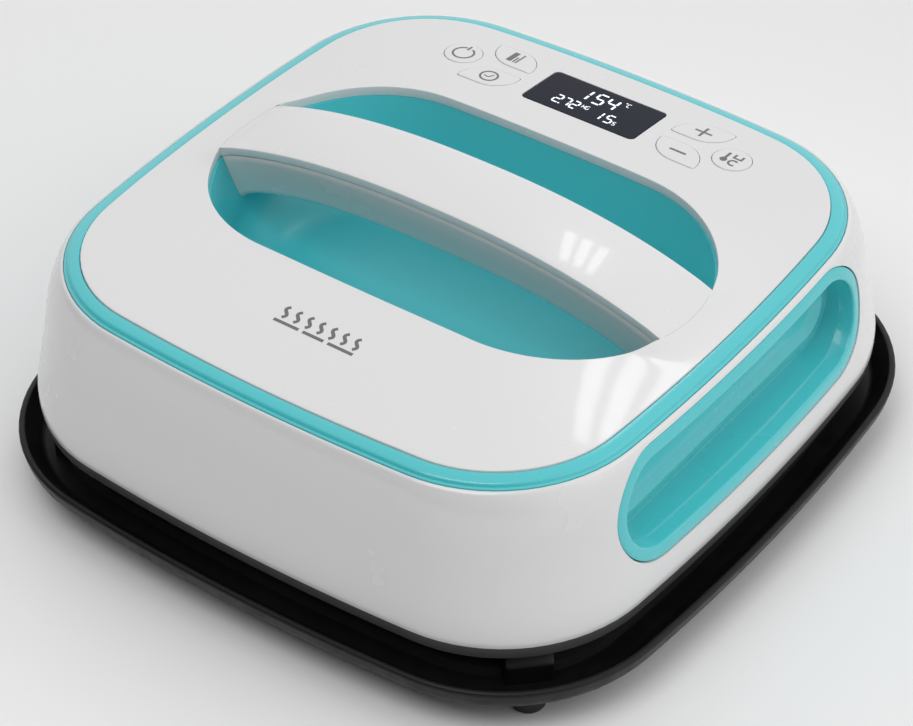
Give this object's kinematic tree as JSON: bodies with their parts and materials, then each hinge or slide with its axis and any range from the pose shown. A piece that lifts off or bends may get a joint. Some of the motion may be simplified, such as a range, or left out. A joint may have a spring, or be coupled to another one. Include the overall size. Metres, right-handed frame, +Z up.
{
  "type": "heat press",
  "caption": "Portable square heat press with a bridge handle, finger grips, a digital timer panel and an insulated safety base it lifts out of.",
  "frame": {"origin": "on the table under the centre of the safety base", "axes": "+Z up, +Y to the back where the display is, +X to the right"},
  "size_m": [0.3084, 0.3084, 0.1249],
  "materials": {
    "white_plastic": "glossy moulded",
    "turquoise_plastic": "satin-gloss moulded",
    "black_plastic": "matt, heat resistant",
    "silicone": "matt",
    "steel": "zinc plated",
    "dark_glass": "tinted, glossy",
    "circuit": "solder mask",
    "component": "moulded",
    "plate_aluminium": "cast, non-stick coated face",
    "element_steel": "oxidised",
    "mineral_wool": "matt fibre"
  },
  "bodies": {
    "base": {"safety_tray": "black_plastic", "heat_mat": "silicone", "corner_rests": "black_plastic", "rubber_feet": "silicone", "foot_screws": "steel"},
    "press": {"bottom_frame": "black_plastic", "bottom_frame_screws": "steel", "handle_bar": "steel", "handle_screws": "steel", "heat_shield": "steel", "plate_spacers": "steel", "chassis_screws": "steel", "board_pillars": "steel", "load_cells": "steel", "thermistor": "steel", "thermal_fuse": "steel", "body_shell": "white_plastic", "top_cover": "white_plastic", "handle_grip": "white_plastic", "chassis_plate": "white_plastic", "deck_frame": "white_plastic", "side_grip_right": "turquoise_plastic", "side_grip_left": "turquoise_plastic", "trim_ring": "turquoise_plastic", "hand_recess": "turquoise_plastic", "display_window": "dark_glass", "display_module": "circuit", "control_board": "circuit", "power_board": "circuit", "tact_switches": "component", "buzzer": "component", "power_relay": "component", "transformer": "component", "terminal_block": "component", "cord_gland": "component", "heating_plate": "plate_aluminium", "heating_element": "element_steel", "insulation_pad": "mineral_wool"},
    "button_preset": {"button_preset": "white_plastic"},
    "button_timer": {"button_timer": "white_plastic"},
    "button_plus": {"button_plus": "white_plastic"},
    "button_minus": {"button_minus": "white_plastic"},
    "button_power": {"button_power": "white_plastic"},
    "button_unit": {"button_unit": "white_plastic"}
  },
  "joints": [
    {"name": "press_lift", "type": "slide", "parent": "base", "child": "press", "axis": [0, 0, 1], "range_m": [0, 0.1]},
    {"name": "button_preset_travel", "type": "slide", "parent": "press", "child": "button_preset", "axis": [0, 0, -1], "range_m": [0, 0.0008], "stiffness_N_per_m": 1500, "springref_m": -0.001},
    {"name": "button_timer_travel", "type": "slide", "parent": "press", "child": "button_timer", "axis": [0, 0, -1], "range_m": [0, 0.0008], "stiffness_N_per_m": 1500, "springref_m": -0.001},
    {"name": "button_plus_travel", "type": "slide", "parent": "press", "child": "button_plus", "axis": [0, 0, -1], "range_m": [0, 0.0008], "stiffness_N_per_m": 1500, "springref_m": -0.001},
    {"name": "button_minus_travel", "type": "slide", "parent": "press", "child": "button_minus", "axis": [0, 0, -1], "range_m": [0, 0.0008], "stiffness_N_per_m": 1500, "springref_m": -0.001},
    {"name": "button_power_travel", "type": "slide", "parent": "press", "child": "button_power", "axis": [0, 0, -1], "range_m": [0, 0.0008], "stiffness_N_per_m": 1500, "springref_m": -0.001},
    {"name": "button_unit_travel", "type": "slide", "parent": "press", "child": "button_unit", "axis": [0, 0, -1], "range_m": [0, 0.0008], "stiffness_N_per_m": 1500, "springref_m": -0.001}
  ]
}
